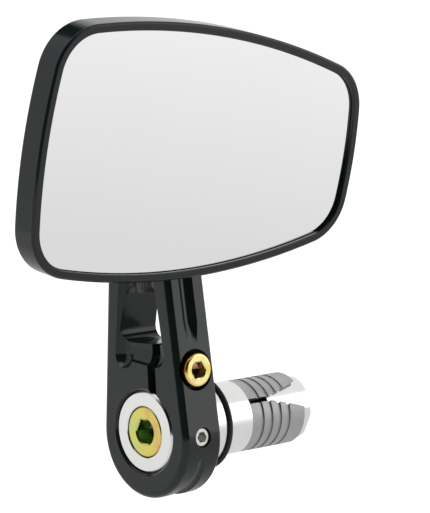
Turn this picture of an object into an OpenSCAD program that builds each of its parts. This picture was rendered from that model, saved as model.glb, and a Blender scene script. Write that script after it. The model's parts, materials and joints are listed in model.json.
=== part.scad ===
// Bar-end mirror: a clamp arm on an expanding plug, with a swivelling and tilting head.
// X runs along the bar: 0 is the bar's end face and +X goes into the bar. The mirror
// faces -Y and the arm stands along +Z.

/* [Bar plug] */
// Radius of the pilot that centres the plug in the bar
pilot_r = 9.4; // [9:0.1:10]
// Length of the pilot inside the bar
pilot_len = 9; // [8:0.5:12]
// Thickness of the soft ring against the bar's end
ring_t = 1.3; // [1:0.1:2]
// Outer radius of the soft ring
ring_r = 12.2; // [11.5:0.1:12.7]
// Radius of the bright flange beside the arm
flange_r = 11.35; // [11:0.05:12]
// Thickness of the bright flange
flange_t = 6.1; // [5:0.1:8]
// Radius of the boss that the arm clamps
boss_r = 10.65; // [10:0.05:11]
// Ramp angle of the expanding nut
ramp_angle = 12; // [8:0.5:15]
// Travel of the expanding nut
nut_travel = 3.75; // [2:0.25:4]

/* [Arm] */
// Thickness of the arm along the bar
arm_t = 12.2; // [11:0.1:14]
// Radius of the rounded foot
foot_r = 15.9; // [15:0.1:18]
// How far the foot's centre lies below the bar's axis
foot_drop = 1.1; // [0:0.1:2]
// Half width of the arm at its top
top_half_w = 11; // [10:0.1:12]
// Height of the arm's top above the bar's axis
arm_top = 50; // [48:0.5:54]
// Height of the window's sill
window_low = 22.3; // [21:0.1:24]
// Height of the window's head
window_high = 37.5; // [34:0.5:39]
// Depth of the recess in the arm's outer face
recess_depth = 2; // [1:0.1:2.5]
// Width of the clamping slit
slit_w = 3; // [2:0.1:4]

/* [Head] */
// Depth of the mirror housing
housing_t = 7.5; // [6:0.1:8]
// Width of the housing's rim round the glass
rim_w = 2.2; // [1.5:0.1:3]
// How far the glass lies below the rim
glass_set = 1.1; // [0.5:0.1:2]
// Thickness of the glass
glass_t = 2; // [1.5:0.1:2]
// Lean of the mirror towards the ground
head_pitch = 10.2; // [8:0.1:11]
// Height of the tilt pivot above the bar's axis
tilt_z = 73; // [72:0.5:75]

/* [Hidden] */
$fn = 96;

fit = 0.05;           // radial gap of every running fit
face_gap = 0.05;      // gap between faces that slide
eps = 0.01;
hair = 0.002;         // keeps flats and long arcs just inside the rounds they touch

// Places along the bar
flange_x = -ring_t - flange_t;
arm_in = flange_x - 2 * face_gap;
arm_out = arm_in - arm_t;
arm_mid = (arm_in + arm_out) / 2;
boss_out = arm_out + 0.2;

// Bar bolt, M8
m8_r = 4;
m8_head_r = 6.4;
m8_head_h = 8;
m8_key = 6;
m8_washer_t = 1.6;
counterbore_r = 6.6;
bolt_set = 0.1;
seat_x = boss_out + bolt_set + m8_head_h + m8_washer_t;

// Plug jaws and nut
jaw_count = 3;
jaw_r = 9.3;
jaw_x = pilot_len + 2 * face_gap;
jaw_len = 18;
jaw_bore_r = 4.4;
jaw_half_angle = 56;
tooth_pitch = 3;
tooth_depth = 0.4;
nut_x = 16;
nut_len = 14;
nut_r = 8.4;
nut_flat = 5;
key_w = 3;
key_len = 2;
key_low = 5.2;
key_high = 7.2;
jaw_travel = nut_travel * tan(ramp_angle);

// Arm outlines: each circle is [y, z, radius], listed clockwise seen from outboard
top_round = 4;
side_break = 1.1;
bore_break = 0.5;
foot_lean = 6;
recess_rail = 4.8;
window_rail = 5.4;
window_shift = 0.2;
window_skew = -3.2;
recess_low = 15.9;
recess_high = 44;
slit_y = -4.1;
arm_circles = [
    [0, -foot_drop, foot_r],
    [-(top_half_w - top_round), arm_top - top_round, top_round],
    [top_half_w - top_round, arm_top - top_round, top_round]
];

// Clamp screw, grub screw and swivel screw
clamp_z = 16.2;
clamp_face_y = -15.35;
m5_r = 2.5;
m5_head_r = 4.25;
m5_head_h = 5;
m5_key = 4;
clamp_bore_r = 5.25;
clamp_seat_y = clamp_face_y + m5_head_h;
clamp_end_y = 9;
grub_z = -0.85;
grub_face_y = -15.3;
groove_w = 4.2;
groove_depth = 0.5;
grub_tip_y = -(boss_r - groove_depth + 2 * face_gap);
grub_dog_r = 1.8;
grub_dog_len = 0.6;
grub_key = 2.5;
m6_r = 3;
m6_head_r = 5;
m6_head_h = 6;
m6_key = 5;
swivel_seat_z = 42;
swivel_bore_r = 5.4;
spring_t = 0.8;
swivel_end_z = 62;

// Flutes in the arm's edge
flute_r = 2.6;
flute_out = 1.2;
flute_run_r = 2.55;
flute_run_angle = 12;
flute_start_z = 28.3;
foot_flute_ring_r = 19.3;
foot_flute_lift = 2.2;

// Swivel block and tilt joint
friction_t = 0.5;
block_z = arm_top + friction_t + face_gap;
block_r = 9.5;
block_base_h = 4.5;
eye_r = 6;
eye_half_w = 5.5;
tilt_y = -8;
tilt_washer_t = 0.55;
lug_in = eye_half_w + face_gap + tilt_washer_t;
lug_t = 3.5;
lug_out = lug_in + lug_t;
lug_r = 6.5;
m5_nut_flats = 8;
m5_nut_h = 4;

// Head, drawn flat: x across, y up the mirror, z out of the glass
head_y = -25.8;
head_z = 72;
pad_t = 0.4;
pocket_depth = glass_set + glass_t + pad_t;
tilt_v = -sin(head_pitch) * (tilt_y - head_y) + cos(head_pitch) * (tilt_z - head_z);
tilt_w = -cos(head_pitch) * (tilt_y - head_y) - sin(head_pitch) * (tilt_z - head_z);
plate_w = 30;
plate_h = 26;
plate_t = 3;
plate_round = 3;
m3_r = 1.5;
m3_head_r = 2.75;
m3_head_h = 1.7;
m3_key = 2;
m3_depth = 3;
m3_span_x = 11;
m3_span_y = 9.4;
corner_round = 13.2;
head_corners = [[-50.2, 34.3], [48.3, 14.5], [44.2, -25.7], [-56.5, -25.4]];
head_bulges = [6.4, 1.8, 6.7, 2.9];

// A side of the head's outline is a large circle through two corners
function corner(i) = head_corners[i % 4];
function side_len(i) = norm(corner(i + 1) - corner(i));
function side_r(i) = (pow(side_len(i), 2) / 4 + pow(head_bulges[i], 2)) / (2 * head_bulges[i]);
function side_dir(i) = (corner(i + 1) - corner(i)) / side_len(i);
function side_c(i) = (corner(i) + corner(i + 1)) / 2
    + [side_dir(i).y, -side_dir(i).x] * (side_r(i) - head_bulges[i]);

// The crossing of two circles that lies nearer to a point
function cross_along(d, ra, rb) = (d * d + ra * ra - rb * rb) / (2 * d);
function cross_at(ca, ra, cb, rb, turn) =
    let (d = norm(cb - ca), u = (cb - ca) / d, a = cross_along(d, ra, rb))
    ca + u * a + [-u.y, u.x] * turn * sqrt(ra * ra - a * a);
function nearer(p, a, b) = norm(a - p) < norm(b - p) ? a : b;
function round_c(i) =
    let (s = (i + 3) % 4, ra = side_r(s) - corner_round, rb = side_r(i) - corner_round)
    nearer(corner(i), cross_at(side_c(s), ra, side_c(i), rb, 1),
                      cross_at(side_c(s), ra, side_c(i), rb, -1));
function touch(i, s, inset) =
    let (u = round_c(i) - side_c(s))
    side_c(s) + u / norm(u) * (side_r(s) - inset);

// Turns a circle's start away from a point of its used arc
function seam_turn(c, p) = atan2(c.y - p.y, c.x - p.x);

// Where a belt round two circles leaves them
function belt_angle(a, b) =
    atan2(b.y - a.y, b.x - a.x) + acos((a[2] - b[2]) / norm([b.x - a.x, b.y - a.y]));
function rim_point(c, angle) = [c.x, c.y] + (c[2] - hair) * [cos(angle), sin(angle)];

// Half width of the arm at a height, from the line that touches its foot circle
function arm_half_w(z) = (foot_r - (z + foot_drop) * sin(foot_lean)) / cos(foot_lean);

// A plate along X whose outline is a belt round circles listed clockwise
module belt_plate(x, length, circles) {
    count = len(circles);
    along_x(x, length)
    polygon([for (i = [0:count - 1]) let (a = circles[i], b = circles[(i + 1) % count])
        for (c = [a, b]) rim_point(c, belt_angle(a, b))]);
    for (c = circles) {
        translate([x, c.x, c.y]) rotate([0, 90, 0]) cylinder(r = c[2], h = length);
    }
}

// Extrude an outline in Y and Z along X
module along_x(x, length) {
    translate([x, 0, 0]) rotate([90, 0, 90]) linear_extrude(length) children();
}

// A round bar along X
module rod_x(r, x, length) {
    translate([x, 0, 0]) rotate([0, 90, 0]) cylinder(r = r, h = length);
}

// A round bar along Y at a height in the arm
module rod_y(r, y, length, z) {
    translate([arm_mid, y, z]) rotate([-90, 0, 0]) cylinder(r = r, h = length);
}

// A round bar along the tilt axis
module rod_tilt(r, x, length) {
    translate([arm_mid + x, tilt_y, tilt_z]) rotate([0, 90, 0]) cylinder(r = r, h = length);
}

// A socket cap screw pointing up +Z, with its head's top face at z = 0
module cap_screw(r, head_r, head_h, key, length, key_depth) {
    soft = head_r * 0.08;
    difference() {
        union() {
            rotate_extrude() polygon([
                [0, 0], [head_r - soft, 0], [head_r, soft],
                [head_r, head_h], [0, head_h]
            ]);
            translate([0, 0, head_h - eps]) cylinder(r = r, h = length + eps);
        }
        translate([0, 0, -eps]) cylinder(r = key / 2 / cos(30), h = key_depth + eps, $fn = 6);
    }
}

module adapter() {
    edge = 0.4;
    boss_edge = 0.7;
    bore_edge = 0.15;
    color("silver") difference() {
        rotate([0, 90, 0]) rotate_extrude() polygon([
            [m8_r + fit, seat_x], [counterbore_r, seat_x],
            [counterbore_r, boss_out + bore_edge], [counterbore_r + bore_edge, boss_out],
            [boss_r - boss_edge, boss_out], [boss_r, boss_out + boss_edge],
            [boss_r, arm_mid - groove_w / 2], [boss_r - groove_depth, arm_mid - groove_w / 2],
            [boss_r - groove_depth, arm_mid + groove_w / 2], [boss_r, arm_mid + groove_w / 2],
            [boss_r, flange_x], [flange_r - edge, flange_x], [flange_r, flange_x + edge],
            [flange_r, -ring_t - edge], [flange_r - edge, -ring_t],
            [pilot_r - edge, -ring_t], [pilot_r - edge, 0], [pilot_r, 0],
            [pilot_r, pilot_len], [m8_r + fit, pilot_len]
        ]);
        for (i = [0:jaw_count - 1]) {
            rotate([i * 360 / jaw_count, 0, 0])
            translate([pilot_len - key_len - 2 * face_gap, -key_w / 2 - fit, m8_r])
            cube([key_len + 1, key_w + 2 * fit, key_high + jaw_travel + fit - m8_r]);
        }
    }
}

module end_ring() {
    lip = 0.4;
    color("dimgray") rotate([0, 90, 0]) rotate_extrude() polygon([
        [pilot_r - lip + 0.02, -ring_t], [ring_r - lip, -ring_t],
        [ring_r, -ring_t + lip], [ring_r, -lip], [ring_r - lip, 0],
        [pilot_r + 0.1, 0], [pilot_r - lip + 0.02, -lip]
    ]);
}

module bolt_washer() {
    color("silver") difference() {
        rod_x(m8_head_r + 0.1, seat_x - m8_washer_t, m8_washer_t);
        rod_x(m8_r + fit, seat_x - m8_washer_t - 1, m8_washer_t + 2);
    }
}

module expander_bolt() {
    color("gold") translate([boss_out + bolt_set, 0, 0]) rotate([30, 0, 0]) rotate([0, 90, 0])
    cap_screw(m8_r, m8_head_r, m8_head_h, m8_key, 45, 4.5);
}

// The space above one of the nut's ramps
module above_ramp(lift) {
    translate([nut_x, 0, nut_flat + lift]) rotate([0, -ramp_angle, 0])
    translate([-30, -20, 0]) cube([80, 40, 30]);
}

module expander_nut() {
    color("gainsboro") difference() {
        rod_x(nut_r, nut_x, nut_len);
        rod_x(m8_r + fit, nut_x - 1, nut_len + 2);
        for (i = [0:jaw_count - 1]) {
            rotate([i * 360 / jaw_count, 0, 0]) above_ramp(0);
        }
    }
}

// One jaw: a round segment that slides along its key on the ramp
module jaw(i) {
    reach = 30;
    color("lightgray") rotate([i * 360 / jaw_count, 0, 0]) {
        difference() {
            intersection() {
                rod_x(jaw_r, jaw_x, jaw_len);
                along_x(jaw_x - 1, jaw_len + 2) polygon([
                    [0, 0], [-reach * tan(jaw_half_angle), reach],
                    [reach * tan(jaw_half_angle), reach]
                ]);
                above_ramp(face_gap);
            }
            rod_x(jaw_bore_r, jaw_x - 1, jaw_len + 2);
            for (k = [1:4]) {
                translate([jaw_x + k * tooth_pitch, 0, 0]) difference() {
                    rod_x(jaw_r + 1, 0, 1);
                    rod_x(jaw_r - tooth_depth, -1, 3);
                }
            }
        }
        translate([jaw_x - key_len, -key_w / 2, key_low])
        cube([key_len + eps, key_w, key_high - key_low]);
    }
}

// The sides of the window and of the recess follow the arm's own sides
function opening_circles(low, high, rail, low_r, high_r) = [
    [window_shift - (arm_half_w(low) - rail - low_r), low + low_r, low_r],
    [window_shift - (arm_half_w(high) - rail - high_r), high - high_r, high_r],
    [window_shift + (arm_half_w(high) - rail - high_r), high - high_r, high_r],
    [window_shift + (arm_half_w(low) - rail - low_r), low + low_r, low_r]
];

// Broken edge along a straight side of the arm, at one of its two faces
module side_chamfer(x) {
    edge_y = arm_half_w(arm_top / 2);
    translate([x, -edge_y, arm_top / 2]) rotate([-foot_lean, 0, 0]) rotate([0, 0, 45])
    cube([side_break * sqrt(2), side_break * sqrt(2), 2 * arm_top], center = true);
}

// Round-bottomed flute up the front edge, running out above the clamp screw
module edge_flute() {
    mouth_y = arm_half_w(flute_start_z) + flute_out;
    overlap = flute_r * tan(flute_run_angle / 2);
    translate([arm_mid, -mouth_y, flute_start_z]) rotate([-foot_lean, 0, 0]) {
        translate([0, 0, -overlap]) cylinder(r = flute_r, h = arm_top);
        rotate([180 - flute_run_angle, 0, 0]) translate([0, 0, -overlap])
        cylinder(r = flute_run_r, h = 12);
    }
}

module arm() {
    color("#2b2b2e") difference() {
        belt_plate(arm_out, arm_t, arm_circles);
        rod_x(boss_r + fit, arm_out - 1, arm_t + 2);
        translate([arm_out - eps, 0, 0]) rotate([0, 90, 0])
        cylinder(r1 = boss_r + fit + bore_break + eps, r2 = boss_r + fit, h = bore_break + eps);
        translate([0, slit_y - slit_w / 2, 0]) along_x(arm_out - 1, arm_t + 2)
        square([slit_w, window_low + 3]);
        translate([arm_out, 0, 0]) rotate([0, 0, window_skew])
        belt_plate(-3, arm_t + 6, opening_circles(window_low, window_high, window_rail, 3, 5));
        belt_plate(arm_out - 1, recess_depth + 1,
            opening_circles(recess_low, recess_high, recess_rail, 3, 3));
        translate([arm_mid, 0, window_low + 5]) cylinder(r = swivel_bore_r,
            h = swivel_seat_z - window_low - 5);
        translate([arm_mid, 0, window_low + 5]) cylinder(r = m6_r + fit, h = arm_top);
        rod_y(clamp_bore_r, -foot_r - 5, foot_r + 5 + clamp_seat_y, clamp_z);
        rod_y(m5_r + fit, clamp_seat_y - 1, clamp_end_y - clamp_seat_y + 2, clamp_z);
        rod_y(m5_r + fit, -foot_r - 5, foot_r, grub_z);
        for (x = [arm_out, arm_in]) {
            side_chamfer(x);
            mirror([0, 1, 0]) side_chamfer(x);
        }
        edge_flute();
        mirror([0, 1, 0]) edge_flute();
        translate([arm_mid, 0, foot_flute_lift - foot_drop]) rotate([0, 90, 0]) rotate([0, 0, -90])
        rotate_extrude(angle = 180) translate([foot_flute_ring_r, 0]) circle(r = flute_r);
    }
}

module clamp_screw() {
    color("gold") translate([arm_mid, clamp_face_y, clamp_z]) rotate([-90, 0, 0])
    cap_screw(m5_r, m5_head_r, m5_head_h, m5_key, clamp_end_y - clamp_seat_y, 2.5);
}

module grub_screw() {
    color("gainsboro") difference() {
        translate([arm_mid, grub_face_y, grub_z]) rotate([-90, 0, 0]) rotate_extrude() polygon([
            [0, 0], [m5_r - 0.3, 0], [m5_r, 0.3], [m5_r, grub_tip_y - grub_face_y - grub_dog_len],
            [grub_dog_r, grub_tip_y - grub_face_y - grub_dog_len],
            [grub_dog_r, grub_tip_y - grub_face_y], [0, grub_tip_y - grub_face_y]
        ]);
        translate([arm_mid, grub_face_y - eps, grub_z]) rotate([-90, 0, 0])
        cylinder(r = grub_key / 2 / cos(30), h = 2.5, $fn = 6);
    }
}

module friction_ring() {
    color("white") translate([arm_mid, 0, arm_top]) difference() {
        cylinder(r = block_r, h = friction_t);
        translate([0, 0, -1]) cylinder(r = m6_r + 0.1, h = 3);
    }
}

module swivel_screw() {
    head_z0 = swivel_seat_z - face_gap - spring_t - m6_head_h;
    ribs = 30;
    color("#1d1d1f") translate([arm_mid, 0, head_z0]) difference() {
        cap_screw(m6_r, m6_head_r, m6_head_h, m6_key, swivel_end_z - head_z0 - m6_head_h, 3);
        for (i = [0:ribs - 1]) {
            rotate([0, 0, i * 360 / ribs]) translate([m6_head_r + 0.15, 0, 0.6])
            cylinder(r = 0.35, h = m6_head_h - 1.2, $fn = 16);
        }
    }
}

module swivel_spring() {
    color("gray") translate([arm_mid, 0, swivel_seat_z - face_gap - spring_t]) difference() {
        cylinder(r = m6_head_r, h = spring_t);
        translate([0, 0, -1]) cylinder(r = m6_r + 0.02, h = 3);
    }
}

module swivel_block() {
    neck_y = 13;
    color("#2b2b2e") difference() {
        union() {
            translate([arm_mid, 0, block_z]) cylinder(r = block_r, h = block_base_h);
            hull() {
                translate([arm_mid - eye_half_w, -neck_y / 2, block_z + 1])
                cube([2 * eye_half_w, neck_y, block_base_h]);
                rod_tilt(eye_r, -eye_half_w, 2 * eye_half_w);
            }
        }
        rod_tilt(m5_r + fit, -eye_half_w - 1, 2 * eye_half_w + 2);
        translate([arm_mid, 0, block_z - 1]) cylinder(r = m6_r + 0.02,
            h = swivel_end_z - block_z + 1.5);
    }
}

module tilt_bolt() {
    color("#1d1d1f") translate([arm_mid - lug_out - m5_head_h, tilt_y, tilt_z])
    rotate([0, 90, 0])
    cap_screw(m5_r, m5_head_r, m5_head_h, m5_key, 2 * lug_out + m5_nut_h + 1, 2.5);
}

module tilt_nut() {
    color("gainsboro") difference() {
        translate([arm_mid + lug_out, tilt_y, tilt_z]) rotate([0, 90, 0])
        cylinder(r = m5_nut_flats / 2 / cos(30), h = m5_nut_h, $fn = 6);
        rod_tilt(m5_r + 0.02, lug_out - 1, m5_nut_h + 2);
    }
}

module tilt_washers() {
    color("white") for (x = [-lug_in, lug_in - tilt_washer_t]) {
        difference() {
            rod_tilt(5, x, tilt_washer_t);
            rod_tilt(m5_r + 0.02, x - 1, tilt_washer_t + 2);
        }
    }
}

// Puts a flat drawing of the head in its place
module head_frame() {
    translate([arm_mid, head_y, head_z]) rotate([90 + head_pitch, 0, 0]) children();
}

// The head's outline, set in by a distance
module head_outline(inset) {
    difference() {
        intersection_for (i = [0:3]) {
            translate(side_c(i)) rotate(seam_turn(side_c(i), (corner(i) + corner(i + 1)) / 2))
            circle(r = side_r(i) - inset - hair, $fn = 720);
        }
        for (i = [0:3]) {
            polygon([touch(i, (i + 3) % 4, inset), corner(i) * 1.5, touch(i, i, inset)]);
        }
    }
    for (i = [0:3]) {
        translate(round_c(i)) rotate(seam_turn(round_c(i), corner(i)))
        circle(r = corner_round - inset);
    }
}

// Repeats its children at the four bracket screws
module at_bracket_screws() {
    for (x = [-m3_span_x, m3_span_x], y = [-m3_span_y, m3_span_y]) {
        translate([x, tilt_v + y, 0]) children();
    }
}

module head_bracket() {
    color("#2b2b2e") difference() {
        head_frame() {
            translate([0, tilt_v, -housing_t - plate_t / 2])
            cube([plate_w, plate_h - 2 * plate_round, plate_t], center = true);
            translate([0, tilt_v, -housing_t - plate_t / 2])
            cube([plate_w - 2 * plate_round, plate_h, plate_t], center = true);
            for (x = [-1, 1], y = [-1, 1]) {
                translate([x * (plate_w / 2 - plate_round),
                    tilt_v + y * (plate_h / 2 - plate_round), -housing_t - plate_t])
                cylinder(r = plate_round, h = plate_t);
            }
            for (x = [-lug_out, lug_in]) {
                translate([x, tilt_v, tilt_w]) rotate([0, 90, 0]) linear_extrude(lug_t) {
                    circle(r = lug_r);
                    translate([tilt_w + housing_t + plate_t - eps, -lug_r])
                    square([-tilt_w - housing_t - plate_t + 2 * eps, 2 * lug_r]);
                }
            }
        }
        rod_tilt(m5_r + 0.02, -lug_out - 1, 2 * lug_out + 2);
        head_frame() at_bracket_screws()
        translate([0, 0, -housing_t - plate_t - 1]) cylinder(r = m3_r + 0.05, h = plate_t + 2);
    }
}

module bracket_screws() {
    color("#1d1d1f") head_frame() at_bracket_screws()
    translate([0, 0, -housing_t - plate_t - m3_head_h])
    cap_screw(m3_r, m3_head_r, m3_head_h, m3_key, plate_t + m3_depth, 1);
}

module mirror_housing() {
    color("#2b2b2e") head_frame() difference() {
        translate([0, 0, -housing_t]) linear_extrude(housing_t) head_outline(0);
        translate([0, 0, -pocket_depth]) linear_extrude(pocket_depth + 1) head_outline(rim_w);
        at_bracket_screws() translate([0, 0, -housing_t - 1])
        cylinder(r = m3_r + 0.02, h = 1 + m3_depth + 0.2);
    }
}

module glass_pad() {
    color("gray") head_frame() translate([0, 0, -pocket_depth])
    linear_extrude(pad_t) head_outline(rim_w + 1.5);
}

module mirror_glass() {
    color("whitesmoke") head_frame() translate([0, 0, -glass_set - glass_t])
    linear_extrude(glass_t) head_outline(rim_w + fit);
}

adapter();
end_ring();
bolt_washer();
expander_bolt();
expander_nut();
jaw(0);  // jaw_1
jaw(1);  // jaw_2
jaw(2);  // jaw_3
arm();
clamp_screw();
grub_screw();
friction_ring();
swivel_screw();
swivel_spring();
swivel_block();
tilt_bolt();
tilt_nut();
tilt_washers();
head_bracket();
bracket_screws();
mirror_housing();
glass_pad();
mirror_glass();
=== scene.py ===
import json
from math import acos, atan2, ceil, cos, hypot, pi, radians, sin, sqrt, tan

import bmesh
import bpy
from mathutils import Matrix, Vector

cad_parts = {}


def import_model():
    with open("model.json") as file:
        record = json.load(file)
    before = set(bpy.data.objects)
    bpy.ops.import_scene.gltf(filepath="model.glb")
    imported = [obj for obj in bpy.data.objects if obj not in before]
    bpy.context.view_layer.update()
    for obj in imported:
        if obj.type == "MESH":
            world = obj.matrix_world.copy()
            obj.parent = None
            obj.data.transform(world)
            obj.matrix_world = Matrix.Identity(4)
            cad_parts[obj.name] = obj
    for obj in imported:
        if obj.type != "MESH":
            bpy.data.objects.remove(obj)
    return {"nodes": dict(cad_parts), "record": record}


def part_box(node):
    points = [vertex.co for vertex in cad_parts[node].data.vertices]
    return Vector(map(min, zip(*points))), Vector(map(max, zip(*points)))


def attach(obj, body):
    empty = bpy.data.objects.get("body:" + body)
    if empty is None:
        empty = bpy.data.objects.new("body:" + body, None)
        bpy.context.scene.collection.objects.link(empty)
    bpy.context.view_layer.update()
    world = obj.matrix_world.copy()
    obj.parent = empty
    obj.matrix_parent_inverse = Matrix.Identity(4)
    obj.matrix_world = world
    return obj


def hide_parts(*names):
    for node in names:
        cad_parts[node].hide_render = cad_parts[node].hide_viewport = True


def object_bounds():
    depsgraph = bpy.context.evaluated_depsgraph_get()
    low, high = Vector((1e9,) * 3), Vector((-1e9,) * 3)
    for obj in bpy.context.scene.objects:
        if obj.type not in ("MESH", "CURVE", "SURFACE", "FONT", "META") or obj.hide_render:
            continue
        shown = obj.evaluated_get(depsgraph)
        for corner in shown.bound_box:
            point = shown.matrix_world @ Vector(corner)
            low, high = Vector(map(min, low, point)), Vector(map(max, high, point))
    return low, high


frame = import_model()
cad_low, cad_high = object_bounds()
nodes = frame["nodes"]
MM = 0.001


# ---------------------------------------------------------------- materials

class Mat:
    """A node material with a few shorthands."""

    def __init__(self, name):
        self.m = bpy.data.materials.new(name)
        self.m.use_nodes = True
        self.nt = self.m.node_tree
        self.nt.nodes.clear()
        self.out = self.nt.nodes.new("ShaderNodeOutputMaterial")
        self.p = self.nt.nodes.new("ShaderNodeBsdfPrincipled")
        self.nt.links.new(self.p.outputs[0], self.out.inputs[0])
        self.geo = self.nt.nodes.new("ShaderNodeTexCoord").outputs["Object"]

    def node(self, kind, **values):
        n = self.nt.nodes.new(kind)
        for k, v in values.items():
            setattr(n, k, v)
        return n

    def link(self, a, b):
        self.nt.links.new(a, b)

    def scaled(self, k):
        """The object's coordinates times k."""
        n = self.node("ShaderNodeMapping")
        n.inputs["Scale"].default_value = (k, k, k)
        self.link(self.geo, n.inputs["Vector"])
        return n.outputs[0]

    def noise(self, vec, detail, rough=0.5):
        n = self.node("ShaderNodeTexNoise", noise_dimensions="3D")
        n.inputs["Scale"].default_value = 1.0
        n.inputs["Detail"].default_value = detail
        n.inputs["Roughness"].default_value = rough
        self.link(vec, n.inputs["Vector"])
        return n.outputs["Fac"]

    def ramp(self, fac, stops):
        n = self.node("ShaderNodeValToRGB")
        e = n.color_ramp.elements
        while len(e) < len(stops):
            e.new(0.5)
        for el, (pos, col) in zip(e, stops):
            el.position = pos
            el.color = (*col, 1) if len(col) == 3 else col
        self.link(fac, n.inputs[0])
        return n.outputs[0]

    def spread(self, fac, low, high, a=0.0, b=1.0):
        """A value from a to b carried to low to high, and held at the ends."""
        n = self.node("ShaderNodeMapRange")
        for k, v in zip(("From Min", "From Max", "To Min", "To Max"), (a, b, low, high)):
            n.inputs[k].default_value = v
        self.link(fac, n.inputs[0])
        return n.outputs[0]

    def mix(self, fac, a, b):
        n = self.node("ShaderNodeMix", data_type="RGBA")
        self.link(fac, n.inputs[0])
        for sock, v in ((n.inputs[6], a), (n.inputs[7], b)):
            if hasattr(v, "links"):
                self.link(v, sock)
            else:
                sock.default_value = (*v, 1)
        return n.outputs[2]

    def add(self, a, b):
        n = self.node("ShaderNodeMath", operation="ADD")
        self.link(a, n.inputs[0])
        self.link(b, n.inputs[1])
        return n.outputs[0]

    def times(self, a, k):
        n = self.node("ShaderNodeMath", operation="MULTIPLY")
        self.link(a, n.inputs[0])
        n.inputs[1].default_value = k
        return n.outputs[0]

    def times_of(self, a, b):
        n = self.node("ShaderNodeMath", operation="MULTIPLY")
        self.link(a, n.inputs[0])
        self.link(b, n.inputs[1])
        return n.outputs[0]

    def bump(self, height, distance, strength=1.0):
        n = self.node("ShaderNodeBump")
        n.inputs["Strength"].default_value = strength
        n.inputs["Distance"].default_value = distance
        self.link(height, n.inputs["Height"])
        self.link(n.outputs[0], self.p.inputs["Normal"])

    def lathe_coords(self, cx=0.0, cy=0.0, cz=0.0, axis="X"):
        """(radius, along, 0) about an axis through a point, for turning marks."""
        sub = self.node("ShaderNodeVectorMath", operation="SUBTRACT")
        sub.inputs[1].default_value = (cx, cy, cz)
        self.link(self.geo, sub.inputs[0])
        flat = self.node("ShaderNodeVectorMath", operation="MULTIPLY")
        flat.inputs[1].default_value = {"X": (0, 1, 1), "Y": (1, 0, 1), "Z": (1, 1, 0)}[axis]
        self.link(sub.outputs[0], flat.inputs[0])
        ln = self.node("ShaderNodeVectorMath", operation="LENGTH")
        self.link(flat.outputs[0], ln.inputs[0])
        sep = self.node("ShaderNodeSeparateXYZ")
        self.link(sub.outputs[0], sep.inputs[0])
        com = self.node("ShaderNodeCombineXYZ")
        self.link(ln.outputs["Value"], com.inputs[0])
        self.link(sep.outputs["XYZ".index(axis)], com.inputs[1])
        return com.outputs[0]

    def set(self, **values):
        for k, v in values.items():
            s = self.p.inputs[k.replace("_", " ")]
            if hasattr(v, "links"):
                self.link(v, s)
            else:
                s.default_value = v
        return self


def black_anodised():
    m = Mat("black_anodised")
    cloud = m.noise(m.scaled(45), 3)
    grain = m.noise(m.scaled(5200), 2, 0.6)
    fine = m.noise(m.scaled(700), 3)
    base = m.mix(cloud, (0.0022, 0.0044, 0.0048), (0.0036, 0.0062, 0.0068))
    m.set(Base_Color=m.mix(m.spread(grain, 0, 0.3), base, (0.008, 0.010, 0.011)),
          Roughness=m.add(m.spread(fine, 0.13, 0.18), m.spread(grain, -0.02, 0.03)),
          Metallic=0.0, IOR=1.43)
    m.bump(m.add(m.times(grain, 1.0), m.times(fine, 0.6)), 0.000006, 0.5)
    return m.m


def bright_aluminium():
    m = Mat("bright_aluminium")
    lines = m.lathe_coords()
    sc = m.node("ShaderNodeVectorMath", operation="SCALE")
    m.link(lines, sc.inputs[0])
    sc.inputs["Scale"].default_value = 9000
    ridge = m.noise(sc.outputs[0], 3, 0.6)
    cloud = m.noise(m.scaled(260), 3)
    m.set(Base_Color=m.mix(cloud, (0.79, 0.79, 0.775), (0.85, 0.85, 0.835)),
          Metallic=1.0, Roughness=m.add(m.spread(ridge, 0.10, 0.22), m.spread(cloud, 0.0, 0.05)))
    m.bump(ridge, 0.000004, 0.55)
    return m.m


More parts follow.
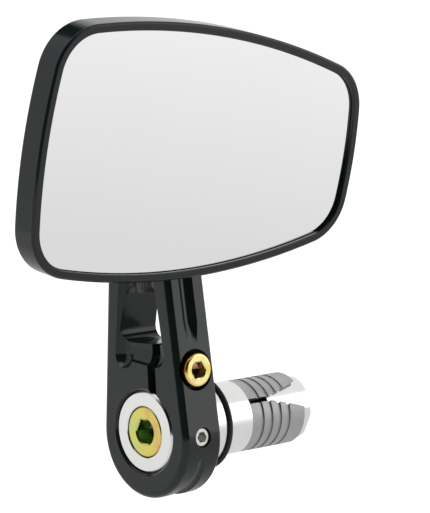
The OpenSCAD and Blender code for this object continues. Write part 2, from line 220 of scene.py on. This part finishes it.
def yellow_zinc():
    """Passivated zinc: greenish on the bar bolt, golden on the clamp screw, with painted shade in the
    sockets and a painted brown reflection on the right of the clamp screw's socket.
    """
    m = Mat("yellow_zinc")
    film = m.noise(m.scaled(300), 2.5)
    pits = m.noise(m.scaled(2600), 3)
    sep = m.node("ShaderNodeSeparateXYZ")
    m.link(m.geo, sep.inputs[0])
    across = m.add(m.times(film, 0.45), m.spread(sep.outputs[1], 0.46, 0.18, -6 * MM, 6 * MM))
    green = m.ramp(across, [(0.30, (0.56, 0.70, 0.28)), (0.46, (0.70, 0.70, 0.19)),
                          (0.58, (0.78, 0.66, 0.17)), (0.74, (0.74, 0.44, 0.19))])
    gold = m.ramp(film, [(0.30, (0.88, 0.68, 0.18)), (0.46, (0.95, 0.84, 0.32)),
                         (0.58, (0.95, 0.81, 0.38)), (0.74, (0.90, 0.60, 0.34))])

    def socket_shade_mask(radius, along, r, start):
        """1 inside a radius and past a depth: the mask of the painted shade in a screw's socket."""
        return m.times_of(m.spread(radius, 1.0, 0.0, r, r + 0.08 * MM),
                          m.spread(along, 0.0, 1.0, start, start + 0.35 * MM))

    def radius_and_depth(vec):
        n = m.node("ShaderNodeSeparateXYZ")
        m.link(vec, n.inputs[0])
        return n.outputs[0], n.outputs[1]

    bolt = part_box("expander_bolt")[0]
    screw_low, screw_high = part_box("clamp_screw")
    middle = (screw_low + screw_high) / 2
    # Masks of the painted shade inside the bar bolt's and the clamp screw's sockets.
    bolt_socket_shade = m.times_of(
        socket_shade_mask(*radius_and_depth(m.lathe_coords()), 3.5 * MM, bolt.x + 0.15 * MM),
        m.spread(sep.outputs[0], 1.0, 0.0, bolt.x + 8 * MM, bolt.x + 9 * MM))
    screw_radius, screw_along = radius_and_depth(
        m.lathe_coords(middle.x, screw_low.y, middle.z, "Y"))
    screw_socket_shade = socket_shade_mask(screw_radius, screw_along, 2.35 * MM, 0.15 * MM)
    gold = m.mix(m.spread(screw_radius, 0.0, 1.0, 3.75 * MM, 4.2 * MM), gold, (0.92, 0.56, 0.12))
    on_screw = m.spread(sep.outputs[1], 1.0, 0.0, -9.5 * MM, -8.5 * MM)
    hue = m.mix(on_screw, green, gold)
    # Painted dark green shade in the sockets, with a painted brown reflection on the right of the
    # clamp screw's socket.
    brown_reflection_side = m.spread(sep.outputs[0], 0.0, 1.0, middle.x + 0.5 * MM, middle.x + 1.5 * MM)
    socket_shade_colour = m.mix(m.times_of(brown_reflection_side, on_screw), (0.34, 0.48, 0.22), (0.56, 0.26, 0.18))
    m.set(Base_Color=m.mix(m.add(bolt_socket_shade, screw_socket_shade), hue, socket_shade_colour), Metallic=1.0,
          Roughness=m.spread(pits, 0.18, 0.30))
    m.bump(pits, 0.000010, 0.35)
    return m.m


def zinc_steel():
    m = Mat("zinc_steel")
    film = m.noise(m.scaled(420), 2.5)
    pits = m.noise(m.scaled(3200), 3)
    m.set(Base_Color=m.mix(film, (0.60, 0.59, 0.56), (0.76, 0.74, 0.69)),
          Metallic=1.0, Roughness=m.spread(pits, 0.22, 0.40))
    m.bump(pits, 0.00001, 0.4)
    return m.m


def black_steel():
    m = Mat("black_steel")
    cloud = m.noise(m.scaled(500), 3)
    pits = m.noise(m.scaled(3600), 3)
    m.set(Base_Color=m.mix(cloud, (0.010, 0.010, 0.011), (0.026, 0.025, 0.024)),
          Metallic=0.25, Roughness=m.spread(pits, 0.26, 0.42), IOR=1.6)
    m.bump(pits, 0.00001, 0.45)
    return m.m


def cast_jaw():
    m = Mat("cast_jaw")
    sand = m.noise(m.scaled(1400), 4, 0.6)
    cloud = m.noise(m.scaled(200), 2)
    m.set(Base_Color=m.mix(cloud, (0.36, 0.36, 0.37), (0.48, 0.48, 0.48)),
          Metallic=1.0, Roughness=m.spread(sand, 0.38, 0.60))
    m.bump(sand, 0.00004, 0.5)
    return m.m


def white_slip():
    m = Mat("white_slip")
    sc = m.node("ShaderNodeVectorMath", operation="SCALE")
    m.link(m.lathe_coords(-13.6 * MM, 0, 0, "Z"), sc.inputs[0])
    sc.inputs["Scale"].default_value = 4000
    ridge = m.noise(sc.outputs[0], 2)
    cloud = m.noise(m.scaled(300), 2)
    m.set(Base_Color=m.mix(cloud, (0.74, 0.73, 0.69), (0.82, 0.81, 0.78)),
          Roughness=m.spread(ridge, 0.38, 0.52))
    m.bump(ridge, 0.000008, 0.4)
    return m.m


def soft_black(name, base, rough, size, depth):
    m = Mat(name)
    skin = m.noise(m.scaled(size), 4, 0.6)
    cloud = m.noise(m.scaled(120), 2)
    m.set(Base_Color=m.mix(cloud, tuple(c * 0.8 for c in base), tuple(c * 1.25 for c in base)),
          Roughness=m.spread(skin, rough - 0.08, rough + 0.1))
    m.bump(skin, depth, 0.6)
    return m.m


def mirror_glass():
    m = Mat("mirror")
    haze = m.noise(m.scaled(28), 3)
    dust = m.noise(m.scaled(1800), 3)
    m.set(Base_Color=m.mix(haze, (0.90, 0.905, 0.90), (0.93, 0.93, 0.925)),
          Metallic=1.0,
          Roughness=m.add(m.spread(haze, 0.004, 0.02), m.spread(dust, 0.0, 0.008)))
    return m.m


MATS = {
    "black_anodised": black_anodised(),
    "bright_aluminium": bright_aluminium(),
    "soft_ring": soft_black("soft_ring", (0.007, 0.007, 0.0075), 0.6, 2200, 0.00002),
    "yellow_zinc": yellow_zinc(),
    "zinc_steel": zinc_steel(),
    "black_steel": black_steel(),
    "cast_jaw": cast_jaw(),
    "white_slip": white_slip(),
    "foam_pad": soft_black("foam_pad", (0.03, 0.03, 0.03), 0.8, 900, 0.0001),
    "mirror": mirror_glass(),
}
slot_of = {s["node"]: s["material_slot"] for s in frame["record"]["subparts"]}
body_of = {n: b for b, ns in frame["record"]["behaviour"]["bodies"].items() for n in ns}

for name, ob in nodes.items():
    ob.data.materials.clear()
    ob.data.materials.append(MATS[slot_of[name]])


# ---------------------------------------------------------------- mesh helpers

def new_object(name, bm, scale=MM):
    """An object from a bmesh drawn in millimetres in the part's frame."""
    me = bpy.data.meshes.new(name)
    bmesh.ops.recalc_face_normals(bm, faces=bm.faces[:])
    bm.to_mesh(me)
    bm.free()
    me.transform(Matrix.Scale(scale, 4))
    ob = bpy.data.objects.new(name, me)
    bpy.context.scene.collection.objects.link(ob)
    return ob


def skin(bm, rings, solid=True):
    """Quads between rings of equal length, closed and capped to a solid or left an open sheet."""
    rows = [[bm.verts.new(p) for p in ring] for ring in rings]
    for a, b in zip(rows, rows[1:]):
        n = len(a)
        for i in range(n if solid else n - 1):
            j = (i + 1) % n
            bm.faces.new((a[i], a[j], b[j], b[i]))
    if solid:
        bm.faces.new(rows[0][::-1])
        bm.faces.new(rows[-1])


def bake(ob):
    """Apply an object's modifiers to its mesh."""
    dg = bpy.context.evaluated_depsgraph_get()
    me = bpy.data.meshes.new_from_object(ob.evaluated_get(dg))
    old = ob.data
    ob.modifiers.clear()
    ob.data = me
    bpy.data.meshes.remove(old)
    return ob


def dress(ob, node, angle=32, weighted=True):
    """Smooth shading, the node's material and its place in the table."""
    me = ob.data
    me.materials.clear()
    me.materials.append(MATS[slot_of[node]])
    me.shade_smooth()
    me.set_sharp_from_angle(angle=radians(angle))
    if weighted:
        w = ob.modifiers.new("weighted", "WEIGHTED_NORMAL")
        w.keep_sharp = True
    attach(ob, body_of[node])
    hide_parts(node)
    return ob


def softened(node, width, segments=2, angle=35):
    """A copy of a CAD node with its edges broken."""
    bm = bmesh.new()
    bm.from_mesh(nodes[node].data)
    bmesh.ops.remove_doubles(bm, verts=bm.verts[:], dist=1e-6)
    bmesh.ops.dissolve_limit(bm, angle_limit=radians(0.6), verts=bm.verts[:], edges=bm.edges[:])
    me = bpy.data.meshes.new(node + "_piece")
    bm.to_mesh(me)
    bm.free()
    ob = bpy.data.objects.new(node + "_piece", me)
    bpy.context.scene.collection.objects.link(ob)
    b = ob.modifiers.new("edges", "BEVEL")
    b.width, b.segments = width * MM, segments
    b.limit_method, b.angle_limit = "ANGLE", radians(angle)
    b.use_clamp_overlap = True
    bake(ob)
    return dress(ob, node)


def circle_pts(r, n):
    return [(r * cos(2 * pi * i / n), r * sin(2 * pi * i / n)) for i in range(n)]


def along_x(x, pts):
    return [(x, y, z) for y, z in pts]


def tube(name, radius, a, b, n=64):
    """A closed cylinder between two points, in millimetres."""
    a, b = Vector(a), Vector(b)
    d = (b - a).normalized()
    u = d.orthogonal().normalized()
    v = d.cross(u)
    bm = bmesh.new()
    skin(bm, [[p + (u * cos(t) + v * sin(t)) * radius for t in (2 * pi * i / n for i in range(n))]
              for p in (a, b)])
    return new_object(name, bm, 1.0)


def block(name, low, high):
    bm = bmesh.new()
    (x0, y0, z0), (x1, y1, z1) = low, high
    skin(bm, [[(x0, y0, z), (x1, y0, z), (x1, y1, z), (x0, y1, z)] for z in (z0, z1)])
    return new_object(name, bm, 1.0)


def carve(ob, cutters):
    """Cut closed meshes out of an object and remove them."""
    for c in cutters:
        m = ob.modifiers.new("cut", "BOOLEAN")
        m.operation, m.solver, m.object = "DIFFERENCE", "EXACT", c
    bake(ob)
    for c in cutters:
        bpy.data.objects.remove(c)
    return ob


# ---------------------------------------------------------------- arm

arm_low, arm_high = (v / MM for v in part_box("arm"))
ARM_OUT, ARM_IN, ARM_TOP = arm_low.x, arm_high.x, arm_high.z
ARM_MID = (ARM_OUT + ARM_IN) / 2
ARM_T = ARM_IN - ARM_OUT
FOOT_R, FOOT_DROP, TOP_HALF, TOP_ROUND = 15.9, 1.1, 11.0, 4.0
LEAN, RECESS_RAIL, WINDOW_RAIL, SHIFT, SKEW = radians(6), 4.8, 5.4, 0.2, radians(-3.2)
ROUND_OUT, ROUND_IN, ROUND_STEPS = 1.6, 1.1, 8
BORE_R, MOUTH_R = 10.7, 11.2
SLIT_NEAR, SLIT_FAR, SLIT_TOP = -5.6, -2.6, 25.3
WINDOW = (22.3, 37.5, WINDOW_RAIL, 3, 5)
RECESS_ROUND, RECESS_DEPTH, BALL_R = 3.3, 2.0, 3.6
RECESS = (15.9, 44, RECESS_RAIL, RECESS_ROUND, RECESS_ROUND)
CLAMP_Z, GRUB_Z = 16.2, -0.85
SWIVEL_HEAD_R, SWIVEL_HOLE_R, CLAMP_HEAD_R, M5_HOLE_R = 5.4, 3.05, 5.25, 2.55
FLUTE_R, FLUTE_START = 2.6, 28.3
GROOVE_R, GROOVE_LIFT = 19.3, 2.2
ARC_POINTS = 14


def half_w(z):
    """Half the arm's width at a height, by its straight edge."""
    return (FOOT_R - (z + FOOT_DROP) * sin(LEAN)) / cos(LEAN)


def belt(circles, inset=0.0):
    """Outline round circles listed clockwise, as (y, z) points, set in by a distance."""
    pts, n = [], len(circles)

    def leave(a, b):
        return atan2(b[1] - a[1], b[0] - a[0]) + acos((a[2] - b[2]) / hypot(b[0] - a[0], b[1] - a[1]))

    for i in range(n):
        a, c, b = circles[i - 1], circles[i], circles[(i + 1) % n]
        t0, t1 = leave(a, c), leave(c, b)
        while t1 > t0:
            t1 -= 2 * pi
        while t1 < t0 - 2 * pi:
            t1 += 2 * pi
        k = max(ARC_POINTS, ceil((t0 - t1) / radians(4)))
        for j in range(k + 1):
            t = t0 + (t1 - t0) * j / k
            r = max(c[2] - inset, 0.02)
            pts.append((c[0] + r * cos(t), c[1] + r * sin(t)))
    return pts


def opening(low, high, rail, low_r, high_r):
    """The four corner circles of an opening between the arm's rails."""
    a, b = half_w(low) - rail - low_r, half_w(high) - rail - high_r
    return [(SHIFT - a, low + low_r, low_r), (SHIFT - b, high - high_r, high_r),
            (SHIFT + b, high - high_r, high_r), (SHIFT + a, low + low_r, low_r)]


def arm_piece():
    circles = [(0, -FOOT_DROP, FOOT_R), (-(TOP_HALF - TOP_ROUND), ARM_TOP - TOP_ROUND, TOP_ROUND),
               (TOP_HALF - TOP_ROUND, ARM_TOP - TOP_ROUND, TOP_ROUND)]
    rings = []
    for k in range(ROUND_STEPS + 1):
        t = pi / 2 * k / ROUND_STEPS
        rings.append(along_x(ARM_OUT + ROUND_OUT * (1 - cos(t)),
                             belt(circles, ROUND_OUT * (1 - sin(t)))))
    for k in range(ROUND_STEPS, -1, -1):
        t = pi / 2 * k / ROUND_STEPS
        rings.append(along_x(ARM_IN - ROUND_IN * (1 - cos(t)),
                             belt(circles, ROUND_IN * (1 - sin(t)))))
    bm = bmesh.new()
    skin(bm, rings)
    arm = new_object("arm_piece", bm, 1.0)

    cut = [tube("c_bore", BORE_R, (ARM_OUT - 2, 0, 0), (ARM_IN + 2, 0, 0), 128)]
    cone = [along_x(ARM_OUT + d, circle_pts(MOUTH_R - d, 128)) for d in (-1.0, 0.5)]
    bm = bmesh.new()
    skin(bm, cone)
    cut.append(new_object("c_mouth", bm, 1.0))
    cut.append(block("c_slit", (ARM_OUT - 1, SLIT_NEAR, 0), (ARM_IN + 1, SLIT_FAR, SLIT_TOP)))
    bm = bmesh.new()
    turn = Matrix.Rotation(SKEW, 4, "Z")
    win = belt(opening(*WINDOW))
    base = Vector((ARM_OUT, 0, 0))
    skin(bm, [[base + turn @ Vector(p) for p in along_x(x, win)] for x in (-3, ARM_T + 3)])
    cut.append(new_object("c_window", bm, 1.0))
    reach = sqrt(BALL_R ** 2 - (BALL_R - RECESS_DEPTH) ** 2)
    rec = opening(*RECESS)
    low_y, low_z = rec[3][0], rec[3][1]
    main = [(rec[0][0], rec[0][1] + 0.9, RECESS_ROUND), rec[1], rec[2],
            (low_y - 0.6, low_z + 2.2, RECESS_ROUND)]

    def ball_cut(name, circles):
        """A recess with the round foot that a ball-nosed cutter leaves."""
        bm = bmesh.new()
        rings = [along_x(ARM_OUT - 1, belt(circles))]
        for k in range(11):
            d = RECESS_DEPTH * k / 10
            inset = reach - sqrt(BALL_R ** 2 - (BALL_R - RECESS_DEPTH + d) ** 2)
            rings.append(along_x(ARM_OUT + d, belt(circles, inset)))
        skin(bm, rings)
        cut.append(new_object(name, bm, 1.0))

    ball_cut("c_recess", main)
    ball_cut("c_lobe", [rec[3], tuple(a + (b - a) * 0.7 for a, b in zip(rec[3], rec[2]))])
    cut.append(tube("c_swivel", SWIVEL_HEAD_R, (ARM_MID, 0, 27.3), (ARM_MID, 0, 42), 96))
    cut.append(tube("c_hole", SWIVEL_HOLE_R, (ARM_MID, 0, 30), (ARM_MID, 0, ARM_TOP + 5), 64))
    seat_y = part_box("clamp_screw")[0].y / MM + 5
    cut.append(tube("c_counterbore", CLAMP_HEAD_R, (ARM_MID, -25, CLAMP_Z),
                    (ARM_MID, seat_y, CLAMP_Z), 96))
    cut.append(tube("c_clamp", M5_HOLE_R, (ARM_MID, -11, CLAMP_Z), (ARM_MID, 10, CLAMP_Z), 48))
    cut.append(tube("c_grub", M5_HOLE_R, (ARM_MID, -22, GRUB_Z), (ARM_MID, -2, GRUB_Z), 48))
    up, run = Vector((0, sin(LEAN), cos(LEAN))), radians(12)
    for side in (-1, 1):
        mouth = Vector((ARM_MID, side * (half_w(FLUTE_START) + 1.2), FLUTE_START))
        d = Vector((0, -side * up.y, up.z))
        down = Vector((0, side * sin(LEAN + run), -cos(LEAN + run)))
        over = FLUTE_R * tan(run / 2)
        cut.append(tube("c_flute", FLUTE_R, mouth - d * over, mouth + d * 30, 48))
        cut.append(tube("c_run", FLUTE_R - 0.01, mouth - down * over, mouth + down * 14, 48))
    bm = bmesh.new()
    rings = []
    for i in range(97):
        t = pi + pi * i / 96
        rings.append([(ARM_MID + FLUTE_R * cos(s), (GROOVE_R + FLUTE_R * sin(s)) * cos(t),
                       GROOVE_LIFT - FOOT_DROP + (GROOVE_R + FLUTE_R * sin(s)) * sin(t))
                      for s in (2 * pi * j / 40 for j in range(40))])
    skin(bm, rings)
    cut.append(new_object("c_foot", bm, 1.0))
    carve(arm, cut)
    b = arm.modifiers.new("edges", "BEVEL")
    b.width, b.segments, b.limit_method, b.angle_limit = 0.16, 2, "ANGLE", radians(38)
    bake(arm)
    arm.data.transform(Matrix.Scale(MM, 4))
    return dress(arm, "arm", 30)


# ---------------------------------------------------------------- head

HOUSING_T, RIM, GLASS_SET, GLASS_T = 7.5, 2.2, 1.1, 2.0
PITCH, HEAD_Y, HEAD_Z = radians(10.2), -25.8, 72.0
CORNER_R = 13.2
SIDE_POINTS, CORNER_POINTS = 40, 20
CORNERS = [Vector(c) for c in ((-50.2, 34.3), (48.3, 14.5), (44.2, -25.7), (-56.5, -25.4))]
BULGES = [6.4, 1.8, 6.7, 2.9]


def head_point(x, y, z):
    """A point of the head's flat drawing, z out of the glass, in the part's frame."""
    a = pi / 2 + PITCH
    return Vector((ARM_MID + x, HEAD_Y + y * cos(a) - z * sin(a), HEAD_Z + y * sin(a) + z * cos(a)))


def head_geometry():
    """Centre and radius of the four side arcs, and the centres of the four corner rounds."""
    sides, rounds = [], []
    for i in range(4):
        a, b = CORNERS[i], CORNERS[(i + 1) % 4]
        d = (b - a).normalized()
        r = ((b - a).length ** 2 / 4 + BULGES[i] ** 2) / (2 * BULGES[i])
        sides.append(((a + b) / 2 + Vector((d.y, -d.x)) * (r - BULGES[i]), r))
    for i in range(4):
        (ca, ra), (cb, rb) = sides[i - 1], sides[i]
        ra, rb = ra - CORNER_R, rb - CORNER_R
        d = (cb - ca).length
        u = (cb - ca) / d
        t = (d * d + ra * ra - rb * rb) / (2 * d)
        h = sqrt(ra * ra - t * t)
        both = [ca + u * t + Vector((-u.y, u.x)) * h * s for s in (1, -1)]
        rounds.append(min(both, key=lambda p: (p - CORNERS[i]).length))
    return sides, rounds


SIDES, ROUNDS = head_geometry()


def head_outline(inset):
    """The head's outline, clockwise seen from the glass, set in by a distance."""
    pts = []
    for i in range(4):
        rc = ROUNDS[i]
        angles = []
        for c, _ in (SIDES[i - 1], SIDES[i]):
            v = rc - c
            angles.append(atan2(v.y, v.x))
        t0, t1 = angles
        while t1 > t0:
            t1 -= 2 * pi
        while t0 - t1 > 2 * pi:
            t1 += 2 * pi
        for k in range(CORNER_POINTS):
            t = t0 + (t1 - t0) * k / CORNER_POINTS
            pts.append(rc + Vector((cos(t), sin(t))) * (CORNER_R - inset))
        c, r = SIDES[i]
        v = ROUNDS[(i + 1) % 4] - c
        s0, s1 = t1, atan2(v.y, v.x)
        while s1 > s0:
            s1 -= 2 * pi
        while s0 - s1 > 2 * pi:
            s1 += 2 * pi
        for k in range(SIDE_POINTS):
            t = s0 + (s1 - s0) * k / SIDE_POINTS
            pts.append(c + Vector((cos(t), sin(t))) * (r - inset))
    return pts


def head_rings(profile):
    """Rings for (inset, height out of the glass) pairs."""
    return [[head_point(p.x, p.y, z) for p in head_outline(i)] for i, z in profile]


def arc(i0, z0, i1, z1, n=5, turn=True):
    """Quarter round between two profile points."""
    out = []
    for k in range(n + 1):
        t = pi / 2 * k / n
        a, b = (1 - cos(t), sin(t)) if turn else (sin(t), 1 - cos(t))
        out.append((i0 + (i1 - i0) * a, z0 + (z1 - z0) * b))
    return out


def housing_piece():
    pocket = GLASS_SET + GLASS_T + 0.4
    profile = [(6.0, -HOUSING_T)] + arc(0.9, -HOUSING_T, 0.0, -HOUSING_T + 0.9, 6, False)
    profile += [(0.0, -0.62)] + arc(0.0, -0.62, 0.08, -0.48, 2) + [(0.42, -0.10)]
    profile += arc(0.42, -0.10, 0.6, 0.0, 3)
    profile += [(RIM - 0.22, 0.0)] + arc(RIM - 0.22, 0.0, RIM, -0.22, 4, False)
    profile += [(RIM, -pocket)]
    bm = bmesh.new()
    skin(bm, head_rings(profile))
    return dress(new_object("housing_piece", bm), "mirror_housing", 45)


def glass_piece():
    back = -GLASS_SET - GLASS_T
    profile = [(RIM + 0.35, back), (RIM + 0.05, back + 0.3), (RIM + 0.05, -GLASS_SET - 0.14),
               (RIM + 0.20, -GLASS_SET)]
    bm = bmesh.new()
    skin(bm, head_rings(profile))
    return dress(new_object("glass_piece", bm), "mirror_glass", 20, False)


# ---------------------------------------------------------------- screws

def hexagon(width, n):
    """Points of a hexagon of a given width across flats, one for each of n equal angles."""
    pts = []
    for i in range(n):
        t = 2 * pi * i / n
        off = (t % (pi / 3)) - pi / 6
        r = width / 2 / cos(off)
        pts.append((r * cos(t), r * sin(t)))
    return pts


def cap_screw_rings(r, head_r, head_h, key, length, key_depth, pitch, thread_from, soft, knurl=0):
    """Rings of a socket cap screw along +z with the head's top at z = 0."""
    n = 96
    rings = []

    def ring(radius, z):
        rings.append([(x, y, z) for x, y in circle_pts(radius, n)])

    cone = key_depth + key * 0.25
    rings.append([(x * 0.02, y * 0.02, cone) for x, y in hexagon(key, n)])
    rings.append([(x, y, key_depth) for x, y in hexagon(key, n)])
    rings.append([(x, y, key * 0.06) for x, y in hexagon(key, n)])
    ring(key / 2 / cos(pi / 6) + 0.12, 0.0)
    ring(head_r - soft * 1.2, 0.0)
    for k in range(7):
        t = pi / 2 * k / 6
        ring(head_r - soft + soft * sin(t), soft * (1 - cos(t)))
    if knurl:
        for k in range(9):
            z = soft * 1.3 + (head_h - soft * 2.2) * k / 8
            deep = 0.0 if k in (0, 8) else 0.17
            rings.append([((head_r - deep * (0.5 + 0.5 * cos(knurl * t))) * cos(t),
                           (head_r - deep * (0.5 + 0.5 * cos(knurl * t))) * sin(t), z)
                          for t in (2 * pi * i / n for i in range(n))])
    ring(head_r, head_h - 0.25)
    ring(head_r - 0.22, head_h)
    ring(r + 0.25, head_h)
    ring(r, head_h + 0.25)
    end = head_h + length
    rows = int((end - 0.5 - thread_from) / pitch * 6)
    if rows > 0:
        ring(r, thread_from - 0.3)
        for k in range(rows + 1):
            z = thread_from + (end - 0.5 - thread_from) * k / rows
            fade = min(1.0, (z - thread_from) / pitch)
            row = []
            for i in range(n):
                t = 2 * pi * i / n
                ph = ((z - thread_from) / pitch - t / (2 * pi)) % 1.0
                rad = r - 0.55 * pitch * fade * (1 - abs(2 * ph - 1)) ** 0.9
                row.append((rad * cos(t), rad * sin(t), z))
            rings.append(row)
    else:
        ring(r, end - 0.5)
    ring(r - 0.55, end)
    return rings


def screw_piece(node, name, place, **sizes):
    bm = bmesh.new()
    skin(bm, [[place @ Vector(p) for p in ring] for ring in cap_screw_rings(**sizes)])
    return dress(new_object(name, bm), node, 28)


def axis_matrix(origin, direction):
    """Takes +z to a direction at a point, in millimetres."""
    q = Vector((0, 0, 1)).rotation_difference(Vector(direction))
    return Matrix.Translation(Vector(origin)) @ q.to_matrix().to_4x4()


arm_piece()
housing_piece()
glass_piece()

bolt_low, bolt_high = (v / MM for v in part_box("expander_bolt"))
screw_piece("expander_bolt", "bar_bolt",
            axis_matrix((bolt_low.x, 0, 0), (1, 0, 0)) @ Matrix.Rotation(pi / 6, 4, "Z"),
            r=4.0, head_r=(bolt_high.y - bolt_low.y) / 2, head_h=8.0, key=6.0,
            length=bolt_high.x - bolt_low.x - 8, key_depth=4.5, pitch=1.25, thread_from=22.0,
            soft=0.45)
clamp_low, clamp_high = (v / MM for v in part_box("clamp_screw"))
screw_piece("clamp_screw", "clamp_bolt",
            axis_matrix((ARM_MID, clamp_low.y, (clamp_low.z + clamp_high.z) / 2), (0, 1, 0)),
            r=2.5, head_r=4.25, head_h=5.0, key=4.0, length=clamp_high.y - clamp_low.y - 5,
            key_depth=2.5, pitch=0.8, thread_from=9.0, soft=0.62)
sw_low, sw_high = (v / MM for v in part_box("swivel_screw"))
screw_piece("swivel_screw", "swivel_bolt", axis_matrix((ARM_MID, 0, sw_low.z), (0, 0, 1)),
            r=3.0, head_r=5.0, head_h=6.0, key=5.0, length=sw_high.z - sw_low.z - 6,
            key_depth=3.0, pitch=1.0, thread_from=14.0, soft=0.4, knurl=32)

softened("adapter", 0.12, 3, 30)
softened("grub_screw", 0.15, 2, 35)
for node, w in (("jaw_1", 0.15), ("jaw_2", 0.15), ("jaw_3", 0.15), ("expander_nut", 0.2),
                ("swivel_block", 0.35), ("head_bracket", 0.35), ("tilt_nut", 0.25),
                ("tilt_bolt", 0.15), ("bracket_screws", 0.12), ("bolt_washer", 0.15),
                ("end_ring", 0.1), ("friction_ring", 0.08), ("tilt_washers", 0.08),
                ("swivel_spring", 0.08)):
    softened(node, w)


# ---------------------------------------------------------------- stage, light and camera

CAMERA_TURN = (-41.193, 6.443, -2.76)       # azimuth, elevation and roll, in degrees
CAMERA_PLACE = (-703.6, -811.9, 163.6)      # millimetres
SENSOR, LENS = 36.0, 298.245614             # millimetres
FLOOR_DROP, LOW_CARD_DROP = 80, 76          # millimetres below the part
WORLD_STRENGTH, SKY_STRENGTH = 0.92, 1.2


def floor():
    bm = bmesh.new()
    z = cad_low.z / MM - FLOOR_DROP
    bmesh.ops.create_grid(bm, x_segments=1, y_segments=1, size=20000)
    for v in bm.verts:
        v.co.z = z
    ob = new_object("floor", bm)
    if ob.data.polygons[0].normal.z < 0:
        ob.data.flip_normals()
    m = Mat("floor_paper")
    grain = m.noise(m.scaled(300), 3)
    m.set(Base_Color=m.mix(grain, (0.86, 0.86, 0.86), (0.89, 0.89, 0.89)), Roughness=0.9,
          Specular_IOR_Level=0.1)
    ob.data.materials.append(m.m)


def area_light(name, place, target, size, power):
    data = bpy.data.lights.new(name, "AREA")
    data.shape, data.size, data.size_y = "RECTANGLE", size[0], size[1]
    data.energy = power
    ob = bpy.data.objects.new(name, data)
    ob.location = place
    ob.rotation_euler = (Vector(target) - Vector(place)).to_track_quat("-Z", "Y").to_euler()
    bpy.context.scene.collection.objects.link(ob)


def camera():
    """A long lens in front of the mirror, to the left of it and a little above."""
    az, el, roll = (radians(a) for a in CAMERA_TURN)
    back = Vector((sin(az) * cos(el), -cos(az) * cos(el), sin(el)))
    right = Vector((cos(az), sin(az), 0))
    up = back.cross(right)
    r2 = right * cos(roll) + up * sin(roll)
    u2 = -right * sin(roll) + up * cos(roll)
    data = bpy.data.cameras.new("camera")
    data.sensor_width, data.lens = SENSOR, LENS
    data.clip_start, data.clip_end = 0.05, 60
    ob = bpy.data.objects.new("camera", data)
    m = Matrix((r2, u2, back)).transposed().to_4x4()
    m.translation = Vector(CAMERA_PLACE) * MM
    ob.matrix_world = m
    bpy.context.scene.collection.objects.link(ob)
    bpy.context.scene.camera = ob


def world():
    """Even white studio light."""
    w = bpy.data.worlds.new("studio")
    bpy.context.scene.world = w
    w.use_nodes = True
    bg = w.node_tree.nodes["Background"]
    bg.inputs[0].default_value = (1.0, 1.0, 1.0, 1)
    bg.inputs[1].default_value = WORLD_STRENGTH


def card(name, level, rows, reach=None):
    """A studio card that only reflections see: one brightness, or two at the two distances
    from the origin in `reach`, in metres."""
    bm = bmesh.new()
    skin(bm, rows, solid=False)
    ob = new_object(name, bm)
    m = Mat(name)
    if reach:
        far = m.node("ShaderNodeVectorMath", operation="LENGTH")
        m.link(m.geo, far.inputs[0])
        level = m.spread(far.outputs["Value"], *level, *reach)
    m.set(Base_Color=(0, 0, 0, 1), Roughness=1.0, Specular_IOR_Level=0.0,
          Emission_Color=(1, 1, 1, 1), Emission_Strength=level)
    ob.data.materials.append(m.m)
    ob.visible_camera = ob.visible_diffuse = ob.visible_shadow = False
    ob.visible_transmission = ob.visible_volume_scatter = False


def dome(radius, az, el):
    """Rows of a round card between two azimuths and two elevations, in degrees."""
    n = 24
    rows = []
    for k in range(9):
        e = radians(el[0] + (el[1] - el[0]) * k / 8)
        rows.append([(radius * cos(e) * cos(t), radius * cos(e) * sin(t), 50 + radius * sin(e))
                     for t in (radians(az[0] + (az[1] - az[0]) * i / n) for i in range(n + 1))])
    return rows


def cards():
    """Black round the camera, grey beside and below the part, black high behind it."""
    low = cad_low.z / MM - LOW_CARD_DROP
    card("flag", 0.0, dome(700, (-199, -63), (-13, 54)))
    card("side_grey", 0.76, dome(900, (103, 168), (-8, 62)))
    card("back_black", 0.0, dome(950, (64, 103), (24, 68)))
    card("back_dim", 0.4, dome(950, (57, 64), (24, 68)))
    card("low_grey", (0.76, 0.95), [[(-3000, y, low), (3000, y, low)] for y in (-3000, 3000)],
         (0.36, 0.62))


floor()
camera()
world()
cards()
area_light("top", (-0.2, 0.3, 1.4), (0, 0, 0.05), (1.6, 1.6), 10)
area_light("right", (1.1, -1.2, 0.5), (0, 0, 0.05), (0.9, 1.2), 3.5)
sun = bpy.data.lights.new("sky", "SUN")
sun.energy, sun.angle = SKY_STRENGTH, radians(80)
sky = bpy.data.objects.new("sky", sun)
sky.rotation_euler = (radians(-25), radians(-15), 0)
sky.visible_glossy = False
bpy.context.scene.collection.objects.link(sky)
bpy.context.scene.view_settings.view_transform = "Standard"
